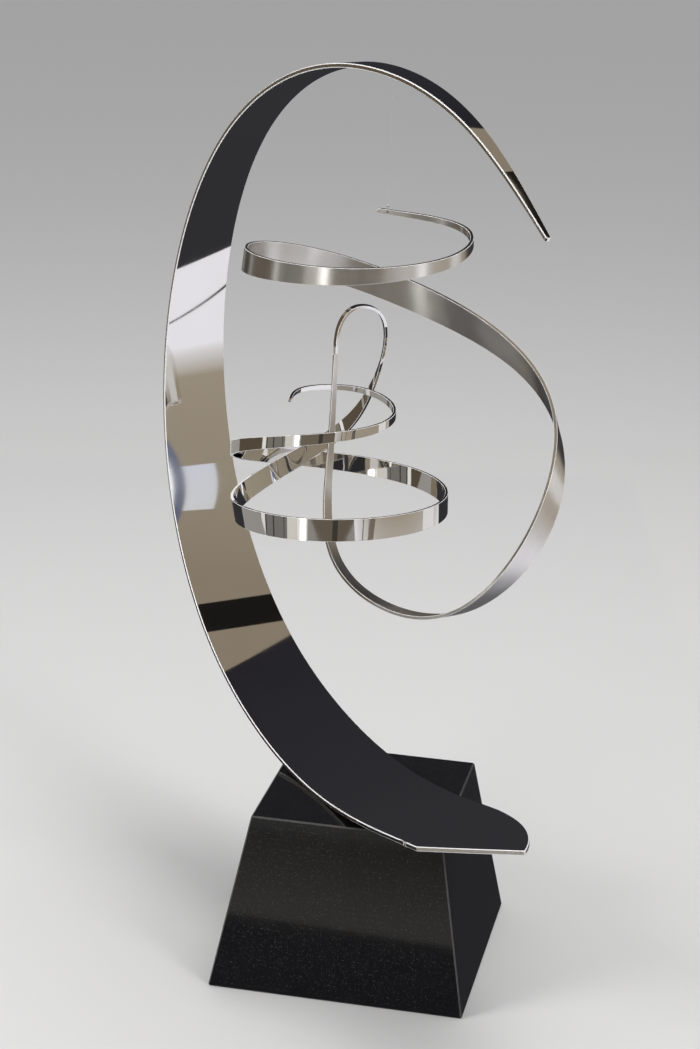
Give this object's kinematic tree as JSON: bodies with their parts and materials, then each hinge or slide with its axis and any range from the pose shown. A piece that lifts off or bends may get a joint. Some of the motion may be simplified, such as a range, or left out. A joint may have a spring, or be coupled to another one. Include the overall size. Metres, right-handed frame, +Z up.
{
  "type": "abstract metal sculpture",
  "caption": "Rolled steel crescent on a tapered granite plinth, with two coiled steel ribbons hung inside it on a fine line so that they turn and balance.",
  "frame": {"origin": "centre of the plinth's underside, on the surface that it stands on", "axes": "+Z up; X and Y along the plinth's sides; the crescent's upright plane turns 48 degrees clockwise from +X"},
  "size_m": [0.7623, 0.8556, 1.4003],
  "materials": {
    "granite": "polished",
    "mirror_steel": "polished",
    "clear_nylon": "satin",
    "ring_steel": "polished",
    "satin_steel": "satin",
    "inner_mirror_steel": "polished"
  },
  "bodies": {
    "base": {"plinth": "granite", "crescent": "mirror_steel", "hanging_line": "clear_nylon"},
    "satin": {"satin_ribbon": "satin_steel", "hanging_ring": "ring_steel"},
    "inner": {"inner_ribbon": "inner_mirror_steel"}
  },
  "joints": [
    {"name": "satin_turn", "type": "hinge", "parent": "base", "child": "satin", "pos_m": [0.002, 0, 1.2], "axis": [0, 0, 1], "continuous": true},
    {"name": "inner_turn", "type": "hinge", "parent": "satin", "child": "inner", "pos_m": [-0.0965, 0.125, 0.94], "axis": [0, 0, 1], "continuous": true}
  ]
}
